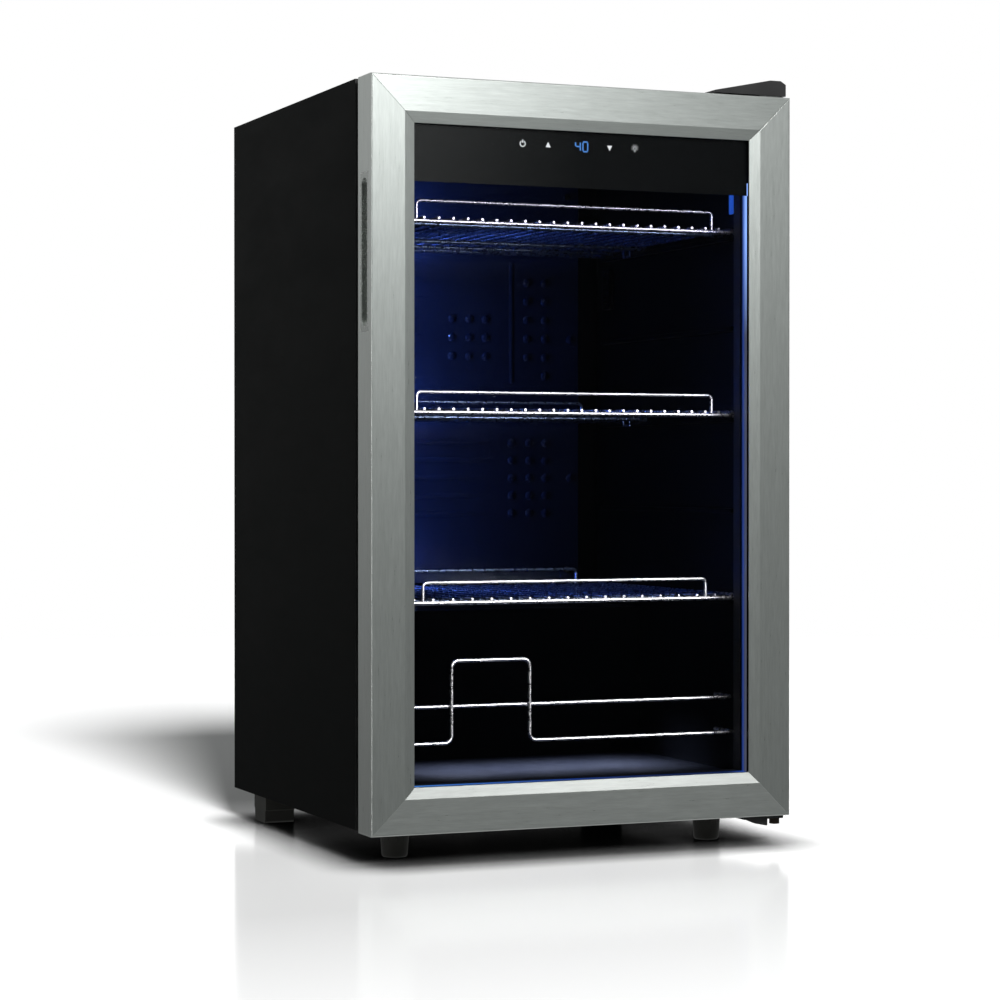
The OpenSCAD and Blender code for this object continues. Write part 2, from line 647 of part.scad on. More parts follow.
// Section of a bent frame bar: x runs in from the edge of the door and y runs back
module bar_section() {
  difference() {
    union() {
      translate([edge_r, edge_r]) circle(edge_r);
      translate([edge_r, 0]) square([frame_w - edge_r, door_t]);
      translate([0, edge_r]) square([edge_r + 1, door_t - edge_r]);
    }
    translate([edge_r, edge_r]) circle(edge_r - skin_t);
    translate([edge_r, skin_t]) square([frame_w, door_t - 2 * skin_t]);
    translate([skin_t, edge_r]) square([frame_w, door_t - edge_r - skin_t]);
    translate([lip_w, door_t / 2]) square([frame_w, door_t]);
  }
  polygon([
    [frame_w - eps, 0], [frame_w + eps, 0], [open_in, bevel_d],
    [open_in, bevel_d + skin_t], [frame_w - eps, skin_t]
  ]);
}
// Bar along z, mitred at both ends
module frame_bar(bar_len) intersection() {
  linear_extrude(bar_len) bar_section();
  prism_y([
    [-1, mitre_gap - 1], [60, 60 + mitre_gap], [60, bar_len - 60 - mitre_gap],
    [-1, bar_len + 1 - mitre_gap]
  ], -1, door_t + 1);
}

module stile_left() color(stainless) place() difference() {
  frame_bar(body_h);
  block([-1, grip[0] - fit, grip[2] - fit], [4, grip[1] + fit, grip[2] + grip_len + fit]);
}
module stile_right() color(stainless) place()
  translate([overall_w, 0, 0]) mirror([1, 0, 0]) frame_bar(body_h);
module rail_bottom() color(stainless) place() difference() {
  mirror([0, 0, 1]) rotate([0, 90, 0]) frame_bar(overall_w);
  translate([hinge.x, hinge.y, -1]) cylinder(h = 4, r = bush_r + fit);
}
module rail_top() color(stainless) place() difference() {
  translate([0, 0, body_h]) rotate([0, 90, 0]) frame_bar(overall_w);
  translate([hinge.x, hinge.y, body_h - 3]) cylinder(h = 4, r = bush_r + fit);
}

// Black plastic frame behind the stainless bars: it carries the panes, the gasket and the bushings
module inner_frame() color(plastic_black) place() difference() {
  union() {
    block([skin_t + fit, edge_r, skin_t + fit],
          [overall_w - skin_t - fit, door_t - skin_t - fit, body_h - skin_t - fit]);
    block([lip_w + fit, door_t / 2, lip_w + fit],
          [overall_w - lip_w - fit, door_t, body_h - lip_w - fit]);
  }
  block([open_in, 0, open_in], [overall_w - open_in, door_t + 1, body_h - open_in]);
  block([frame_w - fit, 0, frame_w - fit],
        [overall_w - frame_w + fit, inner_glass_y + glass_t + fit, body_h - frame_w + fit]);
  for (x = [4, overall_w - 34]) block([x, 0, 60], [x + 30, door_t - 7, body_h - 60]);
  for (z = [4, body_h - 34]) block([60, 0, z], [overall_w - 60, door_t - 7, z + 30]);
  ring(18.9, 23.1, door_t - 4, door_t + 1);
  block([0, grip[0] - 1, grip[2] - 1], [5, grip[1] + 1, grip[2] + grip_len + 1]);
  for (z = [-1, body_h - bush_len - 1])
    translate([hinge.x, hinge.y, z]) cylinder(h = bush_len + 2, r = bush_r + fit);
}

glass_in = frame_w + 2;
module outer_glass() color([0.3, 0.36, 0.4, 0.4]) place()
  block([glass_in, outer_glass_y, glass_in],
        [overall_w - glass_in, outer_glass_y + glass_t, body_h - glass_in]);
module inner_glass() color([0.3, 0.36, 0.4, 0.4]) place()
  block([glass_in, inner_glass_y, glass_in],
        [overall_w - glass_in, inner_glass_y + glass_t, band_z + 14]);

module glass_spacer() color([0.25, 0.26, 0.28]) place() difference() {
  block([frame_w, outer_glass_y + glass_t + fit, frame_w],
        [overall_w - frame_w, inner_glass_y - fit, band_z + 14]);
  block([open_in, 0, open_in], [overall_w - open_in, door_t, band_z + 2]);
  block([open_in - 1, 0, band_z - fit], [overall_w - open_in + 1, plate_y + plate_t + fit, body_h]);
}

module control_housing() color([0.02, 0.02, 0.025]) place() difference() {
  union() {
    block([open_in + fit, plate_y, band_z],
          [overall_w - open_in - fit, plate_y + plate_t, body_h - open_in - fit]);
    block([open_in + fit, plate_y, band_z + 16],
          [overall_w - open_in - fit, door_t - 1, body_h - open_in - fit]);
  }
  block([open_in + 2, plate_y + plate_t, band_z + 18],
        [overall_w - open_in - 2, door_t - 3, body_h - open_in - 2]);
}

touch_x = [177.4, 207.4, 280.9, 311.4];
board_y = plate_y + plate_t + 1.4;
module touch_pads() color(copper) place()
  for (x = touch_x) rod_y(x, plate_y + plate_t + running, board_y - running, icon_z, 5);

module control_board() color([0.1, 0.35, 0.2]) place() {
  block([150, board_y, band_z + 22], [340, board_y + 1.6, body_h - open_in - 5]);
  for (x = [180:34:316]) block([x, board_y + 1.6 - eps, band_z + 30], [x + 14, board_y + 4, band_z + 42]);
}

// Seven-segment digits; each is a list of its lit bars, in the order a to g
digit_h = 12;
digit_w = 7.2;
digit_pitch = 8.8;
digits_x = 239.3;
bar_w = 1.5;
function lit(d) = d == 4 ? [0, 1, 1, 0, 0, 1, 1] : [1, 1, 1, 1, 1, 1, 0];
module digit_bar(i) {
  mid = digit_h / 2;
  gap = 0.15;
  if (i == 0) translate([bar_w / 2 + gap, digit_h - bar_w]) square([digit_w - bar_w - 2 * gap, bar_w]);
  if (i == 1) translate([digit_w - bar_w, mid + gap]) square([bar_w, mid - bar_w - 2 * gap]);
  if (i == 2) translate([digit_w - bar_w, bar_w + gap]) square([bar_w, mid - bar_w - 2 * gap]);
  if (i == 3) translate([bar_w / 2 + gap, 0]) square([digit_w - bar_w - 2 * gap, bar_w]);
  if (i == 4) translate([0, bar_w + gap]) square([bar_w, mid - bar_w - 2 * gap]);
  if (i == 5) translate([0, mid + gap]) square([bar_w, mid - bar_w - 2 * gap]);
  if (i == 6) translate([bar_w + gap, mid - bar_w / 2])
    square([digit_w - 2 * bar_w - 2 * gap, bar_w]);
}
module display_digits() color([0.2, 0.55, 1]) place()
  for (k = [0, 1], i = [0:6]) if (lit(k == 0 ? 4 : 0)[i] == 1)
    translate([digits_x + k * digit_pitch, plate_y - running, icon_z - digit_h / 2])
      rotate([90, 0, 0]) linear_extrude(0.3) digit_bar(i);

gasket_face = cab_y - 0.2;
module door_gasket() color(rubber_grey) place() difference() {
  union() {
    ring(14, 28, door_t + 2, gasket_face);
    ring(17, 25, door_t + running, door_t + 2 + eps);
    ring(19, 23, door_t - 3.6, door_t + 1);
  }
  ring(16.9, 25.1, gasket_face - 2.4, gasket_face + 1);
}

module gasket_magnets() color([0.2, 0.18, 0.17]) place() difference() {
  ring(17, 25, gasket_face - 2.3, gasket_face - running);
  for (x = [0, overall_w - 26], z = [0, body_h - 26])
    block([x - 1, door_t, z - 1], [x + 27, cab_y, z + 27]);
}

// Slot with round ends, along z, cut or filled from x0 to x1
module slot_x(r, z0, z1, x0, x1) {
  mid_y = (grip[0] + grip[1]) / 2;
  block([x0, mid_y - r, z0 + r], [x1, mid_y + r, z1 - r]);
  for (z = [z0 + r, z1 - r]) rod_x(x0, x1, mid_y, z, r);
}
module handle_cup() color(stainless) place() difference() {
  union() {
    block([0, grip[0], grip[2]], [0.9, grip[1], grip[2] + grip_len]);
    slot_x(9.8, grip[2] + 4.8, grip[2] + grip_len - 4.8, 0, grip_d);
  }
  slot_x(8.6, grip[2] + 6, grip[2] + grip_len - 6, -1, grip_d - 1.2);
}

module hinge_bushings() color([0.85, 0.85, 0.8]) place()
  for (z = [fit, body_h - bush_len + fit]) translate([hinge.x, hinge.y, z]) difference() {
    cylinder(h = bush_len - 2 * fit, r = bush_r);
    translate([0, 0, -1]) cylinder(h = bush_len + 2, r = pin_r + running);
  }

cabinet_wrap();
rear_panel();
base_pan();
bay_panel();
foam_insulation();
inner_liner();
evaporator_plate();
evaporator_spacers();
sensor_housing();
light_housing();
light_board();
light_lenses();
drain_tube();
compressor();
compressor_grommets();
compressor_bolts();
relay_cover();
condenser_tube();
condenser_wires();
condenser_brackets();
filter_drier();
discharge_line();
suction_line();
capillary_tube();
evaporation_pan();
power_box();
power_cord();
power_plug();
plug_blades();
top_hinge_plate();
top_hinge_pin();
hinge_screws();
top_hinge_cover();
bottom_hinge_bracket();
bottom_hinge_pin();
rear_feet();
foot_nuts();
front_foot_left();
front_foot_right();
panel_screws();
can_guard();
stile_left();
stile_right();
rail_top();
rail_bottom();
inner_frame();
outer_glass();
inner_glass();
glass_spacer();
control_housing();
control_board();
display_digits();
touch_pads();
door_gasket();
gasket_magnets();
handle_cup();
hinge_bushings();
shelf_top();
shelf_middle();
shelf_bottom();
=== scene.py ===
"""Looks of the undercounter refrigerator: materials, soft parts, printed controls, lights and camera."""

import math

import bmesh
import bpy
import numpy as np
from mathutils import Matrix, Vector

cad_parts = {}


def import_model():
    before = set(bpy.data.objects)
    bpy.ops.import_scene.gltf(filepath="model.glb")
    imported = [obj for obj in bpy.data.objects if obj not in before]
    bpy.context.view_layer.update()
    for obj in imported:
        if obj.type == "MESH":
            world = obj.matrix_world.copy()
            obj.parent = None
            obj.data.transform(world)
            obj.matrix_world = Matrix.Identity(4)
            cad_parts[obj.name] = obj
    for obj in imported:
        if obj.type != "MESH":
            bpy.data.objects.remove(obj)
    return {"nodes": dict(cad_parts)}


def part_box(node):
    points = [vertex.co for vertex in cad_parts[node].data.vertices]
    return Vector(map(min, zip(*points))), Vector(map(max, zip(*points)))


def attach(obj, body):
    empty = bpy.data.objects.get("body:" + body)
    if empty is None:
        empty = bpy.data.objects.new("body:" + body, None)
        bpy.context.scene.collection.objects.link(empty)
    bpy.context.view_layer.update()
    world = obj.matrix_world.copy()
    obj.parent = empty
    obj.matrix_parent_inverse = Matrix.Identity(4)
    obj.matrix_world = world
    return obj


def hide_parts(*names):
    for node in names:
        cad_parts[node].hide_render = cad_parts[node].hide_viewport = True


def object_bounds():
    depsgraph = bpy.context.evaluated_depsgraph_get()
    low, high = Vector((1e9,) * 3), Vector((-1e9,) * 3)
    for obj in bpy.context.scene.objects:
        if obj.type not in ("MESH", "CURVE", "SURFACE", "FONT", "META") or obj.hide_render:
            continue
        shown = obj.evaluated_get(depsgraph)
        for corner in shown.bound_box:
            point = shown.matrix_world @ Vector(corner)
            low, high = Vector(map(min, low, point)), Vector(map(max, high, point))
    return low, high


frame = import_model()
CAD_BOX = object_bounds()
MM = 0.001
# A ray that has crossed more surfaces than this is inside the cabinet, behind both panes.
BOTH_PANES = 5.5


# ---- Node graphs -------------------------------------------------------------------------------

class Shader:
    """A material with one Principled shader, and short calls for the nodes that feed it."""

    def __init__(self, name, **inputs):
        self.material = bpy.data.materials.new(name)
        self.material.use_nodes = True
        self.tree = self.material.node_tree
        self.surface = self.tree.nodes["Principled BSDF"]
        self.where = self.node("ShaderNodeTexCoord").outputs["Object"]
        for key, value in inputs.items():
            self.set(key.replace("_", " "), value)

    def node(self, kind, **inputs):
        made = self.tree.nodes.new(kind)
        for key, value in inputs.items():
            self.feed(made.inputs[key.replace("_", " ")], value)
        return made

    def feed(self, socket, value):
        if isinstance(value, bpy.types.NodeSocket):
            self.tree.links.new(value, socket)
        elif socket.type == "RGBA" and len(value) == 3:
            socket.default_value = (*value, 1)
        else:
            socket.default_value = value

    def set(self, name, value):
        self.feed(self.surface.inputs[name], value)

    def scaled(self, x=1.0, y=1.0, z=1.0):
        mapping = self.node("ShaderNodeMapping", Vector=self.where)
        mapping.inputs["Scale"].default_value = (x, y, z)
        return mapping.outputs["Vector"]

    def noise(self, vector, scale, detail=2.0, roughness=0.5):
        return self.node("ShaderNodeTexNoise", Vector=vector, Scale=scale, Detail=detail,
                         Roughness=roughness).outputs["Fac"]

    def span(self, value, low, high, from_low=0.0, from_high=1.0):
        return self.node("ShaderNodeMapRange", Value=value, From_Min=from_low, From_Max=from_high,
                         To_Min=low, To_Max=high).outputs["Result"]

    def mix(self, factor, a, b, mode="MIX"):
        made = self.tree.nodes.new("ShaderNodeMix")
        made.data_type = "RGBA"
        made.blend_type = mode
        self.feed(made.inputs[0], factor)
        self.feed(made.inputs[6], a)
        self.feed(made.inputs[7], b)
        return made.outputs[2]

    def math(self, operation, a, b=0.0):
        made = self.tree.nodes.new("ShaderNodeMath")
        made.operation = operation
        self.feed(made.inputs[0], a)
        self.feed(made.inputs[1], b)
        return made.outputs[0]

    def axis(self, name):
        return self.node("ShaderNodeSeparateXYZ", Vector=self.where).outputs[name]

    def facing(self, name):
        normal = self.node("ShaderNodeNewGeometry").outputs["True Normal"]
        return self.node("ShaderNodeSeparateXYZ", Vector=normal).outputs[name]

    def grey(self, level):
        return self.node("ShaderNodeCombineColor", Red=level, Green=level, Blue=level).outputs["Color"]

    def varied(self, pattern, colour):
        """A colour that drifts by a tenth to each side over a pattern."""
        return self.mix(pattern, tuple(c * 0.9 for c in colour), tuple(c * 1.1 for c in colour))

    def output(self, shader):
        self.tree.links.new(shader, self.tree.nodes["Material Output"].inputs["Surface"])

    def bump(self, height, strength, distance, normal=None):
        made = self.node("ShaderNodeBump", Height=height, Strength=strength, Distance=distance)
        if normal is not None:
            self.feed(made.inputs["Normal"], normal)
        return made.outputs["Normal"]

    def soft_edge(self, radius):
        made = self.node("ShaderNodeBevel", Radius=radius)
        made.samples = 4
        return made.outputs["Normal"]


# ---- Materials ---------------------------------------------------------------------------------

def brushed_steel(name, along, soft=0.0009):
    """Brushed stainless steel with its grain along one axis."""
    s = Shader(name, Metallic=1.0)
    stretch = {"x": (70, 1100, 1100), "z": (1100, 1100, 70)}[along]
    fine = s.noise(s.scaled(*stretch), 1.0, 3.0, 0.65)
    broad = s.noise(s.scaled(*[v * 0.3 for v in stretch]), 1.0, 2.0)
    streaks = s.math("ADD", s.math("MULTIPLY", fine, 0.65), s.math("MULTIPLY", broad, 0.35))
    tone = s.mix(broad, (0.69, 0.715, 0.69), (0.73, 0.755, 0.735))
    grain = s.span(streaks, 0.925, 1.065, 0.32, 0.68)
    s.set("Base Color", s.mix(1.0, tone, s.grey(grain), "MULTIPLY"))
    s.set("Roughness", s.span(streaks, 0.27, 0.33, 0.3, 0.7))
    tangent = s.tree.nodes.new("ShaderNodeTangent")
    tangent.direction_type = "RADIAL"
    tangent.axis = {"x": "X", "z": "Z"}[along]
    s.set("Anisotropic", 0.45 if along == "z" else 0.25)
    s.set("Tangent", tangent.outputs["Tangent"])
    s.set("Normal", s.bump(streaks, 0.08, 0.0004, s.soft_edge(soft)))
    return s.material


def painted_sheet(name, painted_shade_colour, lit, roughness=0.36):
    """Black powder-coated sheet: a fine orange peel, with faint scuffs. Its left faces get a painted shade:
    a darker colour and almost no specular sheen.
    """
    s = Shader(name)
    peel = s.noise(s.where, 900.0, 3.0)
    scuff = s.noise(s.scaled(3, 3, 9), 2.0, 5.0, 0.6)
    # painted shade: faces turned to the left get the darker shaded colour and almost no specular, the other
    # faces the lit colour
    painted_lit_side = s.span(s.facing("X"), 0.0, 1.0, -0.9, -0.1)
    s.set("Specular IOR Level", s.span(painted_lit_side, 0.009, 0.35))
    colour = s.mix(painted_lit_side, painted_shade_colour, lit)
    worn = s.mix(1.0, colour, (0.5, 0.5, 0.5), "MULTIPLY")
    s.set("Base Color", s.mix(s.span(scuff, 1.0, 0.0, 0.35, 0.75), colour, worn))
    s.set("Roughness", s.span(scuff, roughness - 0.05, roughness + 0.09, 0.3, 0.7))
    s.set("Normal", s.bump(peel, 0.12, 0.0002, s.soft_edge(0.001)))
    return s.material


def moulded_plastic(name, colour, roughness=0.45, spark=1300.0, bump=0.2, specular=0.4):
    """Moulded plastic with a spark-eroded grain."""
    s = Shader(name, Specular_IOR_Level=specular)
    grain = s.node("ShaderNodeTexVoronoi", Vector=s.where, Scale=spark).outputs["Distance"]
    patch = s.noise(s.where, 25.0, 4.0)
    s.set("Base Color", s.mix(patch, colour, tuple(min(1.0, c * 1.25 + 0.001) for c in colour)))
    s.set("Roughness", s.span(patch, roughness - 0.06, roughness + 0.08, 0.3, 0.7))
    s.set("Normal", s.bump(grain, bump, 0.00015, s.soft_edge(0.0006)))
    return s.material


def plated_metal(name, colour, roughness=0.2, mottling=0.06, soft=0.0):
    """Plated or bare metal, with the slight mottling of a drawn surface."""
    s = Shader(name, Metallic=1.0)
    mottle = s.noise(s.where, 180.0, 4.0, 0.6)
    s.set("Base Color", s.mix(mottle, tuple(c * 0.82 for c in colour), colour))
    s.set("Roughness", s.span(mottle, roughness - mottling, roughness + mottling, 0.3, 0.7))
    s.set("Normal", s.bump(mottle, 0.05, 0.0002, s.soft_edge(soft) if soft else None))
    return s.material


def shelf_wire(name):
    """Chromed wire with painted light and shade: a painted fall-off leaves the front rails brightest on the
    lowest shelf, and a painted bluish shade darkens the wires behind them.
    """
    s = Shader(name, Metallic=1.0)
    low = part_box("shelf_top")[0]
    # painted shade: the wires behind the front rail get a dark bluish colour
    behind = s.span(s.axis("Y"), 0.0, 1.0, low.y + 0.009, low.y + 0.03)
    # painted fall-off of light: the front rails darken from the lowest shelf up to the top one
    upper = s.span(s.axis("Z"), 0.0, 1.0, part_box("shelf_bottom")[0].z, low.z)
    front = s.mix(upper, (0.9, 0.89, 0.92), (0.38, 0.37, 0.46))
    s.set("Base Color", s.mix(behind, front, (0.13, 0.17, 0.28)))
    mottle = s.noise(s.where, 180.0, 4.0, 0.6)
    s.set("Roughness", s.span(mottle, 0.24, 0.32, 0.3, 0.7))
    return s.material


def galvanised(name):
    """Zinc-coated sheet with its crystal spangle."""
    s = Shader(name, Metallic=0.9)
    cells = s.node("ShaderNodeTexVoronoi", Vector=s.where, Scale=90.0)
    shade = s.span(cells.outputs["Color"], 0.30, 0.46)
    s.set("Base Color", s.node("ShaderNodeCombineColor", Red=shade, Green=shade,
                               Blue=s.math("MULTIPLY", shade, 1.04)).outputs["Color"])
    s.set("Roughness", s.span(cells.outputs["Color"], 0.35, 0.55))
    return s.material


def rubber(name, colour=(0.018, 0.018, 0.019)):
    """Soft matt rubber with a faint bloom."""
    s = Shader(name, Roughness=0.62)
    bloom = s.noise(s.where, 60.0, 4.0, 0.6)
    s.set("Base Color", s.mix(bloom, colour, tuple(c * 1.7 for c in colour)))
    s.set("Normal", s.bump(s.noise(s.where, 1500.0, 2.0), 0.15, 0.0001))
    return s.material


def tinted_glass(name, colour, alpha):
    """Tinted pane: mostly see-through, with its own faint reflection and a trace of smears."""
    s = Shader(name, Alpha=alpha, Specular_IOR_Level=0.05, IOR=1.5)
    smear = s.noise(s.scaled(4, 4, 1.5), 3.0, 4.0, 0.55)
    s.set("Base Color", s.varied(smear, colour))
    s.set("Roughness", s.span(smear, 0.02, 0.05, 0.3, 0.8))
    return s.material


def glowing(name, colour, strength, ripple=0.25):
    """Lit diffuser, slightly uneven along its length."""
    s = Shader(name, Roughness=0.4)
    wave = s.noise(s.scaled(1, 1, 40), 1.0, 1.0)
    s.set("Base Color", s.varied(wave, tuple(c * 0.4 for c in colour)))
    s.set("Emission Color", colour)
    s.set("Emission Strength", s.span(wave, strength * (1 - ripple), strength * (1 + ripple)))
    return s.material


def circuit_board(name):
    """Green board with its pattern of copper tracks."""
    s = Shader(name, Roughness=0.4)
    tracks = s.node("ShaderNodeTexBrick", Vector=s.scaled(1, 1, 1), Scale=300.0)
    tracks.inputs["Color1"].default_value = (0.01, 0.13, 0.05, 1)
    tracks.inputs["Color2"].default_value = (0.012, 0.16, 0.06, 1)
    tracks.inputs["Mortar"].default_value = (0.03, 0.25, 0.1, 1)
    s.set("Base Color", tracks.outputs["Color"])
    return s.material


def foam(name):
    """Yellow insulation foam with open cells."""
    s = Shader(name, Roughness=0.9)
    cells = s.node("ShaderNodeTexVoronoi", Vector=s.where, Scale=500.0).outputs["Distance"]
    patch = s.noise(s.where, 12.0, 3.0)
    s.set("Base Color", s.mix(patch, (0.78, 0.66, 0.38), (0.86, 0.77, 0.5)))
    s.set("Normal", s.bump(cells, 0.4, 0.0005))
    return s.material


def liner_plastic(name):
    """Vacuum-formed black liner: satin, with a faint draw ripple."""
    s = Shader(name, Specular_IOR_Level=0.03)
    ripple = s.noise(s.where, 14.0, 2.0)
    s.set("Base Color", s.varied(ripple, (0.0026, 0.003, 0.0048)))
    s.set("Roughness", s.span(ripple, 0.28, 0.42, 0.3, 0.7))
    s.set("Normal", s.bump(ripple, 0.08, 0.002, s.soft_edge(0.003)))
    return s.material


def evaporator_coat(name):
    """Black-coated aluminium sheet, a little uneven."""
    s = Shader(name, Metallic=0.2, Specular_IOR_Level=0.75)
    patch = s.noise(s.where, 40.0, 4.0)
    s.set("Base Color", s.mix(patch, (0.006, 0.0075, 0.013), (0.009, 0.011, 0.018)))
    s.set("Roughness", s.span(patch, 0.15, 0.21, 0.3, 0.7))
    return s.material


def fascia_print(name):
    """Gloss black control strip, with a painted sheen that fades from its left end."""
    s = Shader(name)
    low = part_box("control_housing")[0]
    patch = s.noise(s.where, 60.0, 3.0)
    s.set("Base Color", s.varied(patch, (0.003, 0.0035, 0.004)))
    # painted sheen: the specular level is highest at the left end and falls off to the right
    s.set("Specular IOR Level", s.span(s.axis("X"), 0.56, 0.14, low.x, low.x + 0.2))
    s.set("Roughness", s.span(patch, 0.2, 0.26, 0.3, 0.7))
    return s.material


def spacer_bar(name):
    """Dark bar between the panes. Its inner faces glow with a painted reflection of the blue light, most
    near the corners.
    """
    s = Shader(name, Metallic=0.6, Roughness=0.35)
    s.set("Base Color", s.varied(s.noise(s.where, 60.0), (0.01, 0.01, 0.012)))
    low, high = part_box("glass_spacer")
    x, y, z = s.axis("X"), s.axis("Y"), s.axis("Z")
    # painted glow: the inner face that faces left glows brightest at its front and top; the face that faces
    # up glows at its left end and near its right corner
    upright = s.math("LESS_THAN", s.facing("X"), -0.7)
    level = s.math("GREATER_THAN", s.facing("Z"), 0.7)
    upper = s.span(z, 0.0, 1.0, high.z - 0.17, high.z - 0.06)
    upright = s.math("MULTIPLY", upright, s.span(y, 1.7, 0.0, low.y, high.y))
    left = s.span(x, 0.75, 0.12, low.x, low.x + 0.3)
    corner = s.span(x, 0.0, 0.5, high.x - 0.03, high.x - 0.005)
    glow = s.mix(upper, (0.06, 0.066, 0.1), (0.28, 0.48, 1.1))
    line = s.mix(s.span(x, 0.35, 0.0, low.x, low.x + 0.2), BLUE, (0.2, 0.7, 1.0))
    s.set("Emission Color", s.mix(upright, line, glow))
    lit = s.math("MULTIPLY", level, s.math("ADD", left, corner))
    s.set("Emission Strength", s.math("ADD", upright, lit))
    return s.material


BLUE = (0.03, 0.16, 1.0)
MATERIALS = {
    "steel_upright": brushed_steel("steel_upright", "z"),
    "steel_level": brushed_steel("steel_level", "x"),
    "steel_cup": plated_metal("steel_cup", (0.62, 0.64, 0.62), 0.26, 0.03, 0.0012),
    # painted sheets: first a painted-shade colour for the left faces, then a lit colour for the rest
    "black_sheet": painted_sheet("black_sheet", (0.0048, 0.0052, 0.0052), (0.013, 0.0135, 0.0135)),
    "black_enamel": painted_sheet("black_enamel", (0.02, 0.02, 0.021), (0.03, 0.03, 0.031), 0.3),
    "galvanised": galvanised("galvanised"),
    "zinc": plated_metal("zinc", (0.62, 0.63, 0.62), 0.3),
    "pin_bronze": plated_metal("pin_bronze", (0.07, 0.055, 0.045), 0.4),
    "foam": foam("foam"),
    "liner": liner_plastic("liner"),
    "evaporator": evaporator_coat("evaporator"),
    "white_plastic": moulded_plastic("white_plastic", (0.62, 0.62, 0.58), 0.4),
    "light_blue": glowing("light_blue", BLUE, 0.55),
    "digit_blue": glowing("digit_blue", (0.08, 0.3, 0.85), 0.6, 0.05),
    "rubber": rubber("rubber"),
    "black_plastic": moulded_plastic("black_plastic", (0.012, 0.012, 0.0125)),
    "foot_plastic": moulded_plastic("foot_plastic", (0.017, 0.016, 0.013), 0.55),
    "fascia": fascia_print("fascia"),
    "copper": plated_metal("copper", (0.72, 0.34, 0.2), 0.3, 0.1),
    "outer_glass": tinted_glass("outer_glass_tint", (0.001, 0.0012, 0.0015), 0.12),
    "inner_glass": tinted_glass("inner_glass_tint", (0.001, 0.0012, 0.0015), 0.06),
    "spacer": spacer_bar("spacer"),
    "circuit_board": circuit_board("circuit_board"),
    "magnet": rubber("magnet", (0.03, 0.025, 0.02)),
    "wire": plated_metal("wire", (0.9, 0.89, 0.92), 0.28),
    "shelf_wire": shelf_wire("shelf_wire"),
    "print_white": glowing("print_white", (0.85, 0.88, 0.9), 0.8, 0.05),
}

NODE_MATERIAL = {
    "steel_upright": "stile_left stile_right",
    "steel_level": "rail_top rail_bottom",
    "steel_cup": "handle_cup",
    "black_sheet": "cabinet_wrap rear_panel base_pan bottom_hinge_bracket",
    "black_enamel": "compressor condenser_tube condenser_wires",
    "galvanised": "bay_panel condenser_brackets",
    "zinc": "compressor_bolts top_hinge_plate top_hinge_pin hinge_screws foot_nuts panel_screws "
            "plug_blades",
    "pin_bronze": "bottom_hinge_pin",
    "foam": "foam_insulation",
    "liner": "inner_liner sensor_housing light_housing",
    "evaporator": "evaporator_plate",
    "white_plastic": "light_board drain_tube hinge_bushings",
    "light_blue": "light_lenses",
    "digit_blue": "display_digits",
    "rubber": "compressor_grommets door_gasket power_cord",
    "black_plastic": "relay_cover evaporation_pan power_box power_plug top_hinge_cover inner_frame "
                     "evaporator_spacers",
    "foot_plastic": "rear_feet front_foot_left front_foot_right",
    "fascia": "control_housing",
    "copper": "filter_drier discharge_line suction_line capillary_tube touch_pads",
    "outer_glass": "outer_glass",
    "inner_glass": "inner_glass",
    "spacer": "glass_spacer",
    "circuit_board": "control_board",
    "magnet": "gasket_magnets",
    "wire": "can_guard",
    "shelf_wire": "shelf_top shelf_middle shelf_bottom",
}


def finish_nodes():
    """Gives every CAD node its material."""
    for material, names in NODE_MATERIAL.items():
        for name in names.split():
            mesh = frame["nodes"][name].data
            mesh.materials.clear()
            mesh.materials.append(MATERIALS[material])


# ---- Pieces ------------------------------------------------------------------------------------

def new_piece(name, mesh_data, material, body):
    """Links a mesh as a piece that rides on a CAD body."""
    obj = bpy.data.objects.new(name, mesh_data)
    bpy.context.scene.collection.objects.link(obj)
    mesh_data.materials.append(MATERIALS[material])
    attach(obj, body)
    return obj


def solid_outline(bm, outline, front, back):
    """Adds a plate between two y values with the given closed outline of (x, z) points."""
    rims = [[bm.verts.new((x, y, z)) for x, z in outline] for y in (front, back)]
    count = len(outline)
    bm.faces.new(rims[0])
    bm.faces.new(rims[1][::-1])
    for i in range(count):
        j = (i + 1) % count
        bm.faces.new((rims[0][j], rims[0][i], rims[1][i], rims[1][j]))


def arc(cx, cz, r, start, end, steps):
    """Points along an arc, with its angles in degrees."""
    angles = [math.radians(start + (end - start) * i / steps) for i in range(steps + 1)]
    return [(cx + r * math.cos(a), cz + r * math.sin(a)) for a in angles]


def arc_band(cx, cz, r, width, start, end, steps=24):
    """Outline of a curved stroke."""
    return arc(cx, cz, r + width / 2, start, end, steps) + arc(cx, cz, r - width / 2, end, start, steps)


def bar(x, z, width, height):
    """Outline of a small rectangle about its centre."""
    return [(x - width / 2, z - height / 2), (x + width / 2, z - height / 2),
            (x + width / 2, z + height / 2), (x - width / 2, z + height / 2)]


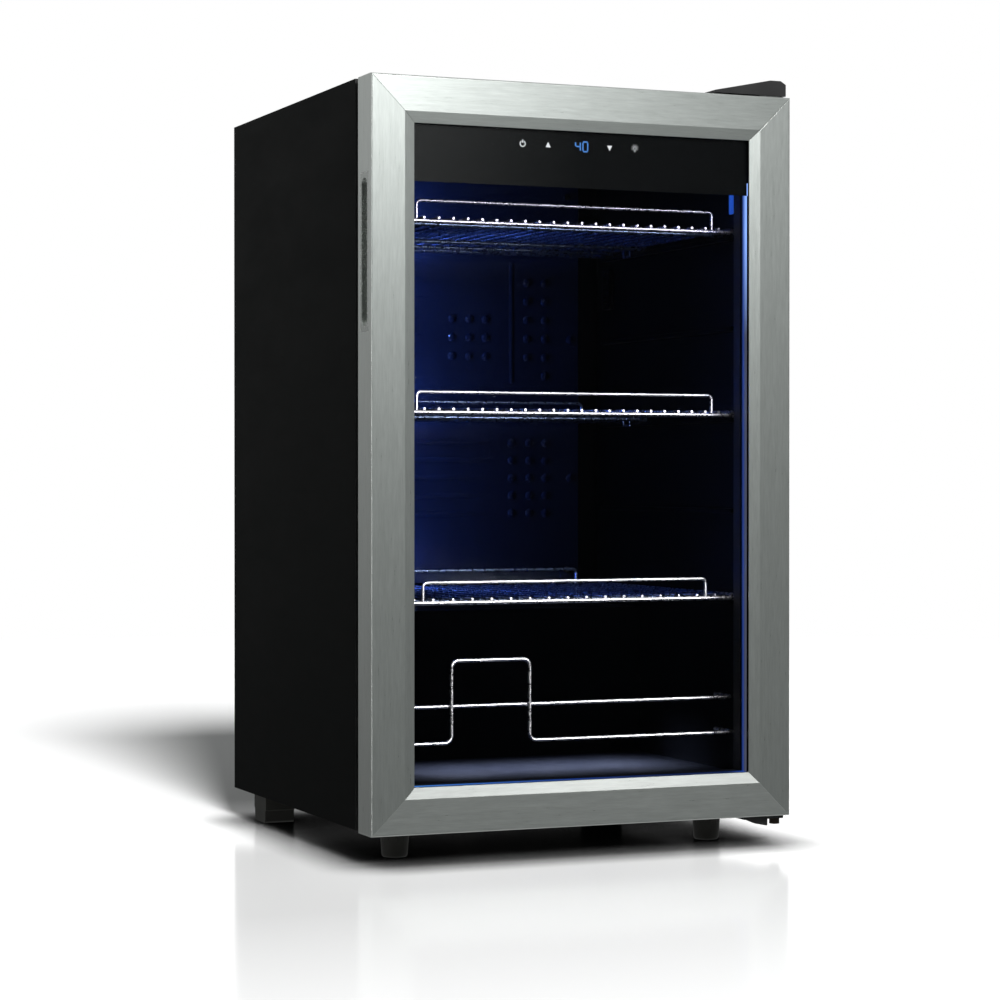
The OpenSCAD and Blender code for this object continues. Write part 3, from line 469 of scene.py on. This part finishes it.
def printed_icons():
    """The touch symbols behind the glass: power, up, down and lamp, over the four touch pads."""
    low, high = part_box("touch_pads")
    r = (high.z - low.z) / 2
    z = (low.z + high.z) / 2
    xs = sorted({round(v.co.x, 5) for v in frame["nodes"]["touch_pads"].data.vertices})
    centres = [xs[0] + r]
    for x in xs:
        if x > centres[-1] + 2.5 * r:
            centres.append(x + r)
    power, up, down, lamp = centres[:4]
    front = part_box("control_housing")[0].y - 0.35 * MM
    back = front + 0.2 * MM
    size = 3.0 * MM
    stroke = 0.9 * MM
    shapes = [
        arc_band(power, z, size, stroke * 1.2, 120, 420),
        bar(power, z + size * 0.9, stroke * 1.2, size * 1.2),
        [(up - size, z - size * 0.85), (up + size, z - size * 0.85), (up, z + size * 1.1)],
        [(down, z - size * 1.1), (down + size, z + size * 0.85), (down - size, z + size * 0.85)],
        arc_band(lamp, z + 0.4 * size, size * 0.6, stroke * 0.8, -60, 240),
        bar(lamp, z - size * 0.42, size * 0.6, stroke * 0.8),
        bar(lamp, z - size * 0.85, size * 0.45, stroke * 0.8),
    ]
    for angle in range(-20, 201, 44):
        a = math.radians(angle)
        ray_x = lamp + size * 1.25 * math.cos(a)
        ray_z = z + 0.4 * size + size * 1.25 * math.sin(a)
        shapes.append(arc(ray_x, ray_z, stroke * 0.5, 0, 315, 7))
    bm = bmesh.new()
    for outline in shapes:
        solid_outline(bm, outline, front, back)
    bmesh.ops.recalc_face_normals(bm, faces=bm.faces)
    mesh = bpy.data.meshes.new("printed_icons")
    bm.to_mesh(mesh)
    bm.free()
    new_piece("printed_icons", mesh, "print_white", "door")


def door_gasket():
    """Magnetic door seal: a hollow-bellows section swept round the door with mitred corners."""
    low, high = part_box("door_gasket")
    # each point is (inset from the gasket's outer edge, y)
    front = low.y + 3.7 * MM
    face = high.y
    section = [
        (5 * MM, low.y), (9 * MM, low.y), (9 * MM, low.y + 2.2 * MM), (9.6 * MM, low.y + 3.0 * MM),
        (9 * MM, front), (11 * MM, front + 0.6 * MM), (13.4 * MM, front + 2.2 * MM),
        (12.4 * MM, front + 3.4 * MM), (13.8 * MM, front + 4.6 * MM), (13.2 * MM, face - 0.6 * MM),
        (11.6 * MM, face), (2.4 * MM, face), (0.6 * MM, face - 0.6 * MM),
        (0.2 * MM, front + 4.4 * MM), (1.6 * MM, front + 3.2 * MM), (0.6 * MM, front + 1.8 * MM),
        (3 * MM, front + 0.4 * MM), (5 * MM, front), (4.4 * MM, low.y + 3.0 * MM),
        (5 * MM, low.y + 2.2 * MM),
    ]
    bm = bmesh.new()
    loops = []
    for corner_x, corner_z in ((0, 0), (1, 0), (1, 1), (0, 1)):
        loop = []
        for inset, y in section:
            x = high.x - inset if corner_x else low.x + inset
            z = high.z - inset if corner_z else low.z + inset
            loop.append(bm.verts.new((x, y, z)))
        loops.append(loop)
    count = len(section)
    for a, b in zip(loops, loops[1:] + loops[:1]):
        for i in range(count):
            j = (i + 1) % count
            bm.faces.new((a[i], a[j], b[j], b[i]))
    bmesh.ops.recalc_face_normals(bm, faces=bm.faces)
    mesh = bpy.data.meshes.new("gasket_bellows")
    bm.to_mesh(mesh)
    bm.free()
    piece = new_piece("gasket_bellows", mesh, "rubber", "door")
    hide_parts("door_gasket", "gasket_magnets")


def evaporator():
    """Roll-bonded evaporator plate: refrigerant channels and rows of dimples pressed into a thin sheet."""
    low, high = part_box("evaporator_plate")
    step = 1.5 * MM
    nx = int((high.x - low.x) / step)
    nz = int((high.z - low.z) / step)
    x = np.linspace(low.x, high.x, nx + 1)
    z = np.linspace(low.z, high.z, nz + 1)
    gx, gz = np.meshgrid(x, z)
    lift = np.zeros_like(gx)

    def ridge(distance, radius, height):
        return height * np.sqrt(np.clip(1 - (distance / radius) ** 2, 0, 1))

    def press(column, row):
        away = np.hypot(gx - low.x - column * MM, gz - low.z - row * MM)
        return np.maximum(lift, ridge(away, 5.0 * MM, 1.9 * MM))

    # two fields of level channels from the left edge, each tapering out at its right end
    lower = [85.5 + 21.9 * k for k in range(5)]
    upper = [257 + 23.2 * k for k in range(7)]
    for rows, reach in ((lower, 250), (upper, 168)):
        right = low.x + reach * MM
        taper = np.clip((right - gx) / (60 * MM), 0, 1) * np.clip((gx - low.x) / (6 * MM), 0, 1)
        for row in rows:
            lift = np.maximum(lift, taper * ridge(gz - low.z - row * MM, 3.2 * MM, 1.8 * MM))
    # dimples on the same rows, to the right of the channels
    for row in lower:
        for column in (277, 301, 323):
            lift = press(column, row)
    for row in upper[1:6]:
        for column in (298, 322):
            lift = press(column, row)
    for row in upper[1:4]:
        for column in (197, 220, 242):
            lift = press(column, row)
    for column, row in ((322, upper[0]), (357, upper[2]), (357, lower[2])):
        lift = press(column, row)
    # one shallow upright rib between the two groups of dimples
    inside = np.clip(np.maximum(low.z + 250 * MM - gz, gz - high.z + 100 * MM), 0, None)
    lift = np.maximum(lift, ridge(np.hypot(gx - low.x - 277 * MM, inside), 2.6 * MM, 0.8 * MM))
    front = low.y + 1.9 * MM - lift
    back = low.y + 3.2 * MM
    bm = bmesh.new()
    grid = [[bm.verts.new((gx[j, i], front[j, i], gz[j, i])) for i in range(nx + 1)]
            for j in range(nz + 1)]
    for j in range(nz):
        for i in range(nx):
            bm.faces.new((grid[j][i], grid[j][i + 1], grid[j + 1][i + 1], grid[j + 1][i]))
    rim = ([grid[0][i] for i in range(nx)] + [grid[j][nx] for j in range(nz)]
           + [grid[nz][i] for i in range(nx, 0, -1)] + [grid[j][0] for j in range(nz, 0, -1)])
    behind = [bm.verts.new((v.co.x, back, v.co.z)) for v in rim]
    for i in range(len(rim)):
        j = (i + 1) % len(rim)
        bm.faces.new((rim[j], rim[i], behind[i], behind[j]))
    bm.faces.new(behind[::-1])
    for face in bm.faces:
        face.smooth = len(face.verts) == 4 and abs(face.normal.y) > 0.2
    bmesh.ops.recalc_face_normals(bm, faces=bm.faces)
    mesh = bpy.data.meshes.new("evaporator_sheet")
    bm.to_mesh(mesh)
    bm.free()
    piece = new_piece("evaporator_sheet", mesh, "evaporator", "cabinet")
    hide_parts("evaporator_plate")
    return piece


# ---- Camera, lights and floor ------------------------------------------------------------------

def area_light(name, where, target, size, power, colour=(1, 1, 1), size_y=None):
    """Flat light that faces its target."""
    data = bpy.data.lights.new(name, "AREA")
    data.energy = power
    data.color = colour
    data.size = size
    if size_y:
        data.shape = "RECTANGLE"
        data.size_y = size_y
    obj = bpy.data.objects.new(name, data)
    obj.location = where
    obj.rotation_euler = (Vector(target) - Vector(where)).to_track_quat("-Z", "Y").to_euler()
    bpy.context.scene.collection.objects.link(obj)
    return obj


def only_on(light, *objects):
    """The light falls on these objects alone."""
    group = bpy.data.collections.new(light.name + "_receivers")
    for obj in objects:
        group.objects.link(obj)
    light.light_linking.receiver_collection = group


def not_on(light, *objects):
    """The light falls on everything except these objects."""
    only_on(light, *objects)
    for entry in light.light_linking.receiver_collection.collection_objects:
        entry.light_linking.link_state = "EXCLUDE"


def parts(names):
    """The CAD nodes with these names."""
    return [frame["nodes"][name] for name in names.split()]


def stage_only_in_reflections(obj):
    """Only glossy surfaces see this studio piece."""
    obj.visible_camera = False
    obj.visible_diffuse = False
    obj.visible_transmission = False
    obj.visible_shadow = False


def floor():
    """Pale polished floor: it mirrors a little in front of the cabinet and is matt further back; a painted
    contact shade darkens it under the cabinet.
    """
    bpy.ops.mesh.primitive_plane_add(size=60, location=(0, 0, CAD_BOX[0].z))
    plane = bpy.context.object
    plane.name = "studio_floor"
    s = Shader("studio_floor")
    y = s.axis("Y")
    behind = s.math("MAXIMUM", s.span(y, 0.0, 1.0, -0.1, 0.4), s.span(y, 1.0, 0.0, -1.35, -0.5))
    worn = s.span(s.noise(s.where, 3.0, 4.0), 0.985, 1.0)
    # painted contact shade: ambient occlusion darkens the floor's colour and its mirror under and beside
    # the cabinet
    shade = s.node("ShaderNodeAmbientOcclusion", Distance=0.07)
    shade.samples = 6
    painted_contact_shade = s.math("POWER", shade.outputs["AO"], 3.0)
    pale = s.math("MULTIPLY", s.math("MULTIPLY", s.span(behind, 0.6, 0.97), worn), painted_contact_shade)
    matt = s.node("ShaderNodeBsdfDiffuse", Color=s.grey(pale))
    mirror = s.math("MULTIPLY", s.span(behind, 0.34, 0.0), painted_contact_shade)
    polish = s.node("ShaderNodeBsdfGlossy", Roughness=0.12, Color=s.grey(mirror))
    both = s.node("ShaderNodeAddShader")
    away = s.node("ShaderNodeVectorMath", Vector=s.where)
    away.operation = "LENGTH"
    white = s.node("ShaderNodeEmission", Color=(1, 1, 1), Strength=1.0)
    blend = s.node("ShaderNodeMixShader", Fac=s.span(away.outputs["Value"], 0.0, 1.0, 2.0, 4.0))
    s.tree.links.new(matt.outputs["BSDF"], both.inputs[0])
    s.tree.links.new(polish.outputs["BSDF"], both.inputs[1])
    s.tree.links.new(both.outputs["Shader"], blend.inputs[1])
    s.tree.links.new(white.outputs["Emission"], blend.inputs[2])
    s.output(blend.outputs["Shader"])
    plane.data.materials.append(s.material)
    plane.visible_glossy = False
    return plane


def backdrop():
    """White card behind the cabinet, there only for the polished floor to mirror."""
    bpy.ops.mesh.primitive_plane_add(size=1, location=(3.4, 3.0, 1.6), rotation=(math.radians(90), 0, 0))
    card = bpy.context.object
    card.name = "studio_backdrop"
    card.scale = (7.6, 3.2, 1)
    s = Shader("studio_backdrop")
    glow = s.node("ShaderNodeEmission", Color=(1, 1, 1), Strength=s.span(s.noise(s.where, 0.5), 1.2, 1.3))
    s.output(glow.outputs["Emission"])
    card.data.materials.append(s.material)
    stage_only_in_reflections(card)


def reflector():
    """Card that only the steel and the glass see: bright opposite the door's top left corner."""
    y = CAD_BOX[0].y - 0.5
    bpy.ops.mesh.primitive_plane_add(size=1, location=(0.3, y, 0.45), rotation=(math.radians(90), 0, 0))
    card = bpy.context.object
    card.name = "studio_reflector"
    card.scale = (2.4, 2.4, 1)
    s = Shader("studio_reflector")
    place = s.node("ShaderNodeNewGeometry")
    offset = s.node("ShaderNodeMapping", Vector=place.outputs["Position"])
    offset.vector_type = "TEXTURE"
    offset.inputs["Location"].default_value = (-0.07, y, 0.93)
    offset.inputs["Scale"].default_value = (0.305, 1, 0.212)
    distance = s.node("ShaderNodeVectorMath", Vector=offset.outputs["Vector"])
    distance.operation = "LENGTH"
    fall = s.math("POWER", math.e, s.math("MULTIPLY", distance.outputs["Value"], -1.0))
    glow = s.node("ShaderNodeEmission", Color=(0.95, 1.0, 0.985),
                  Strength=s.math("ADD", s.math("MULTIPLY", fall, 1.2), 0.145))
    clear = s.node("ShaderNodeBsdfTransparent")
    passed = s.node("ShaderNodeLightPath").outputs["Transparent Depth"]
    seen = s.math("MULTIPLY", place.outputs["Backfacing"], s.math("LESS_THAN", passed, BOTH_PANES))
    one_sided = s.node("ShaderNodeMixShader", Fac=seen)
    s.tree.links.new(glow.outputs["Emission"], one_sided.inputs[2])
    s.tree.links.new(clear.outputs["BSDF"], one_sided.inputs[1])
    s.output(one_sided.outputs["Shader"])
    card.data.materials.append(s.material)
    stage_only_in_reflections(card)


def world():
    """White to the camera; dimmer to the metal, brightest overhead, and dark from behind both panes."""
    made = bpy.data.worlds.new("studio")
    made.use_nodes = True
    bpy.context.scene.world = made
    nodes, links = made.node_tree.nodes, made.node_tree.links
    seen = nodes["Background"]
    seen.inputs["Color"].default_value = (1, 1, 1, 1)
    around = nodes.new("ShaderNodeBackground")
    where = nodes.new("ShaderNodeTexCoord")
    split = nodes.new("ShaderNodeSeparateXYZ")
    links.new(where.outputs["Generated"], split.inputs[0])
    height = nodes.new("ShaderNodeMapRange")
    height.inputs["From Min"].default_value = -1.0
    links.new(split.outputs["Z"], height.inputs["Value"])
    shade = nodes.new("ShaderNodeValToRGB")
    links.new(height.outputs["Result"], shade.inputs["Fac"])
    stops = [(0.0, 0.4), (0.25, 0.4), (0.43, 0.12), (0.5, 0.22), (0.58, 0.44), (1.0, 0.55)]
    elements = shade.color_ramp.elements
    while len(elements) < len(stops):
        elements.new(0.5)
    for element, (position, grey) in zip(elements, stops):
        element.position = position
        element.color = (grey * 0.97, grey, grey * 0.99, 1)
    links.new(shade.outputs["Color"], around.inputs["Color"])
    rays = nodes.new("ShaderNodeLightPath")
    dim = nodes.new("ShaderNodeMapRange")
    dim.inputs["To Min"].default_value = 1.0
    dim.inputs["To Max"].default_value = 0.34
    links.new(rays.outputs["Is Diffuse Ray"], dim.inputs["Value"])
    outside = nodes.new("ShaderNodeMath")
    outside.operation = "LESS_THAN"
    outside.inputs[1].default_value = BOTH_PANES
    links.new(rays.outputs["Transparent Depth"], outside.inputs[0])
    strength = nodes.new("ShaderNodeMath")
    strength.operation = "MULTIPLY"
    links.new(dim.outputs["Result"], strength.inputs[0])
    links.new(outside.outputs["Value"], strength.inputs[1])
    links.new(strength.outputs["Value"], around.inputs["Strength"])
    pick = nodes.new("ShaderNodeMixShader")
    links.new(rays.outputs["Is Camera Ray"], pick.inputs["Fac"])
    links.new(around.outputs["Background"], pick.inputs[1])
    links.new(seen.outputs["Background"], pick.inputs[2])
    links.new(pick.outputs["Shader"], nodes["World Output"].inputs["Surface"])


def sunlight(name, azimuth, elevation, width, strength):
    """Parallel light that travels away from the camera side."""
    data = bpy.data.lights.new(name, "SUN")
    data.energy = strength
    data.angle = math.radians(width)
    obj = bpy.data.objects.new(name, data)
    a, e = math.radians(azimuth), math.radians(elevation)
    travel = Vector((math.sin(a) * math.cos(e), math.cos(a) * math.cos(e), -math.sin(e)))
    obj.rotation_euler = travel.to_track_quat("-Z", "Y").to_euler()
    bpy.context.scene.collection.objects.link(obj)
    return obj


def studio(sheet):
    """Floor, cards, surroundings and the lights outside the cabinet."""
    ground = floor()
    backdrop()
    reflector()
    world()
    middle = (CAD_BOX[0] + CAD_BOX[1]) / 2
    only_on(sunlight("floor_sun", 5, 31, 18, 6.4), ground)
    dark = parts("inner_liner evaporator_plate rail_bottom") + [sheet, ground]
    not_on(area_light("key", (0.1, -3.5, 2.55), middle, 0.7, 105), *dark)
    wires = parts("shelf_top shelf_middle shelf_bottom can_guard")
    only_on(area_light("wire_softbox", (0.5, -2.4, 1.3), middle, 3.0, 235, size_y=2.0), *wires)
    upright, sill, cup = parts("stile_left rail_bottom handle_cup")
    low = CAD_BOX[0]
    front = low.y + 0.002
    only_on(area_light("sill_light", (0.95, -2.0, 1.08), (0.1, front, 0.08), 1.0, 13, size_y=0.3), sill)
    edge = (low.x, front, 0.45)
    only_on(area_light("edge_light", (-1.66, -0.77, 0.45), edge, 0.15, 2.5, size_y=1.4), upright)
    grip_low, grip_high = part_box("handle_cup")
    only_on(area_light("cup_light", (-1.6, -1.6, 2.4), (grip_low + grip_high) / 2, 0.4, 40), cup)


def cabinet_lights(sheet):
    """Blue light that creeps over the back wall at the left, above each shelf and below the upper two; and
    a soft light on the liner floor.
    """
    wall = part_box("evaporator_plate")[0]
    lit = parts("shelf_top shelf_middle shelf_bottom") + [sheet]
    shelf_powers = (("shelf_top", 1.6, 0.5), ("shelf_middle", 1.3, 0.5), ("shelf_bottom", 1.2, 0))
    glows = []
    for name, above, below in shelf_powers:
        low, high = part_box(name)
        glows += [(high.z + 8 * MM, above), (low.z - 22 * MM, below)]
    for number, (z, power) in enumerate(glow for glow in glows if glow[1]):
        start = Vector((wall.x + 74 * MM, wall.y - 45 * MM, z))
        obj = area_light(f"glow_{number}", start, start + Vector((0.05, 0.05, 0)), 0.02, power,
                         (0.12, 0.25, 1.0), 0.03)
        obj.visible_camera = False
        only_on(obj, *lit)
    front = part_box("inner_liner")[0]
    obj = area_light("liner_floor_light", (0.02, front.y + 0.13, front.z + 0.16),
                     (0.02, front.y + 0.135, front.z), 0.3, 5.5, (0.85, 0.9, 1.0), 0.1)
    obj.data.spread = math.radians(60)
    obj.visible_camera = False
    only_on(obj, *parts("inner_liner"))


def camera():
    """The camera stands in front of the left side, just under the middle of the door's height."""
    data = bpy.data.cameras.new("camera")
    obj = bpy.data.objects.new("camera", data)
    bpy.context.scene.collection.objects.link(obj)
    data.sensor_width = 36.0
    data.lens = 97.74
    yaw, tilt = math.radians(22.66), math.radians(-0.447)
    obj.location = (-1.2263, -2.9481, 0.4123)
    obj.rotation_euler = (math.radians(90) + tilt, 0, -yaw)
    bpy.context.scene.camera = obj


finish_nodes()
printed_icons()
door_gasket()
sheet = evaporator()
studio(sheet)
cabinet_lights(sheet)
camera()
bpy.context.scene.view_settings.view_transform = "Standard"
